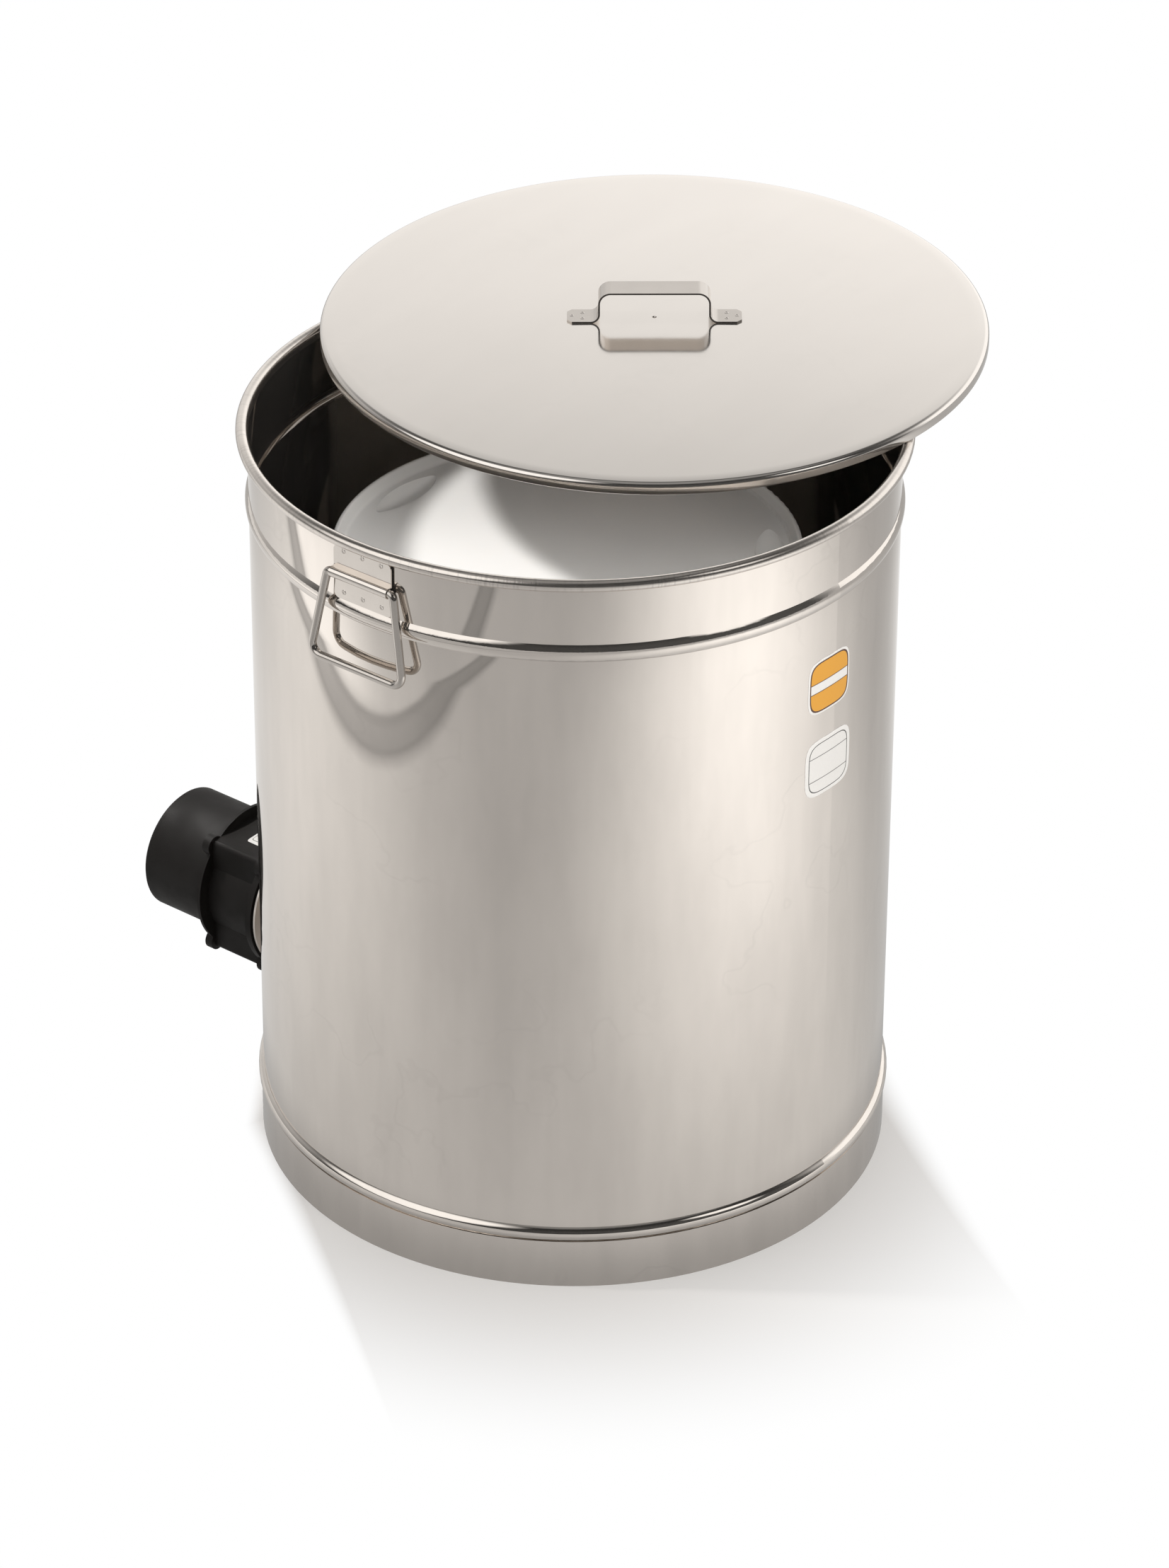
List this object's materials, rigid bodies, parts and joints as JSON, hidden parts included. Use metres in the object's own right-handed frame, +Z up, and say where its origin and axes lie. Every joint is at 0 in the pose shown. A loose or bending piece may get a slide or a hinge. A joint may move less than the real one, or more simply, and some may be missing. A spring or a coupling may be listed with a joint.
{
  "type": "honey melting tank",
  "caption": "Round polished steel drum with a lift-off lid, wire handles and a duct fan low on the wall, warming a closed upturned bucket with blown air.",
  "frame": {"origin": "centre of the drum on the ground it stands on", "axes": "+Z up along the drum's axis, -X along the fan's axis away from the drum, -Y towards the front handle"},
  "size_m": [0.7109, 0.7052, 0.7052],
  "materials": {
    "polished_steel": "mirror-polished stainless sheet",
    "satin_steel": "satin stainless sheet",
    "white_plastic": "smooth white food-grade plastic",
    "black_plastic": "fine-grained black moulding",
    "seal_rubber": "matt",
    "cast_aluminium": "bare",
    "zinc_steel": "zinc-plated"
  },
  "bodies": {
    "tank": {"tank_shell": "polished_steel", "foot_ring": "polished_steel", "floor_pan": "satin_steel", "front_strap": "polished_steel", "back_strap": "polished_steel", "stand_plate": "satin_steel", "stand_legs": "satin_steel", "stub_pipe": "satin_steel", "adapter_plate": "satin_steel", "flange_gasket": "seal_rubber", "heater_carrier": "cast_aluminium", "heater_fins": "cast_aluminium", "fan_housing": "black_plastic", "fan_spigot": "black_plastic", "intake_grille": "black_plastic", "motor_mount": "black_plastic", "fan_motor": "cast_aluminium", "plate_screws": "zinc_steel", "spigot_screws": "zinc_steel", "cable_gland": "black_plastic"},
    "lid": {"lid": "polished_steel", "lid_handle": "polished_steel"},
    "bucket": {"honey_bucket": "white_plastic", "bucket_cover": "white_plastic"},
    "front_bail": {"front_bail": "polished_steel"},
    "back_bail": {"back_bail": "polished_steel"},
    "rotor": {"motor_shaft": "zinc_steel", "impeller": "black_plastic"}
  },
  "joints": [
    {"name": "lid_lift", "type": "slide", "parent": "tank", "child": "lid", "axis": [0, 0, 1], "range_m": [0, 0.25]},
    {"name": "bucket_lift", "type": "slide", "parent": "tank", "child": "bucket", "axis": [0, 0, 1], "range_m": [0, 0.1]},
    {"name": "front_bail_swing", "type": "hinge", "parent": "tank", "child": "front_bail", "pos_m": [0, -0.2662, 0.627], "axis": [-1, 0, 0], "range_deg": [0, 150]},
    {"name": "back_bail_swing", "type": "hinge", "parent": "tank", "child": "back_bail", "pos_m": [0, 0.2662, 0.627], "axis": [1, 0, 0], "range_deg": [0, 110]},
    {"name": "impeller_spin", "type": "hinge", "parent": "tank", "child": "rotor", "pos_m": [-0.3516, 0, 0.09], "axis": [-1, 0, 0], "continuous": true}
  ]
}
